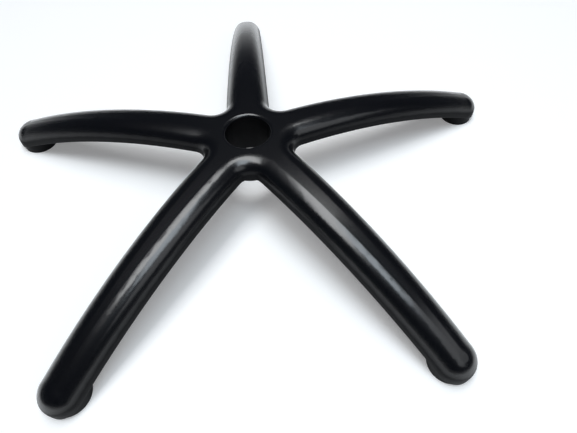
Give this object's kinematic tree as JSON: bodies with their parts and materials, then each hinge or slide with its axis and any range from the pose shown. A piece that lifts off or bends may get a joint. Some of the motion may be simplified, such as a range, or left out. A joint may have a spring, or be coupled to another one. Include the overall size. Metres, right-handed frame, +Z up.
{
  "type": "chair base",
  "caption": "Moulded star-shaped base of a swivel chair: arched arms from a gas-lift hub to caster bosses, with a ribbed open underside.",
  "frame": {"origin": "on the axis of the hub, where the straight part of the gas-lift bore begins 4.2 mm below the top of the hub; the floor is at z = -0.080", "axes": "+Z up along the gas-lift bore, +Y along one arm, towards the back of the view in the picture"},
  "size_m": [0.6298, 0.6011, 0.0842],
  "materials": {
    "black_nylon": "smooth, fairly glossy black moulded nylon, plain and unworn"
  },
  "bodies": {
    "root": {"chair_base": "black_nylon"}
  },
  "joints": []
}
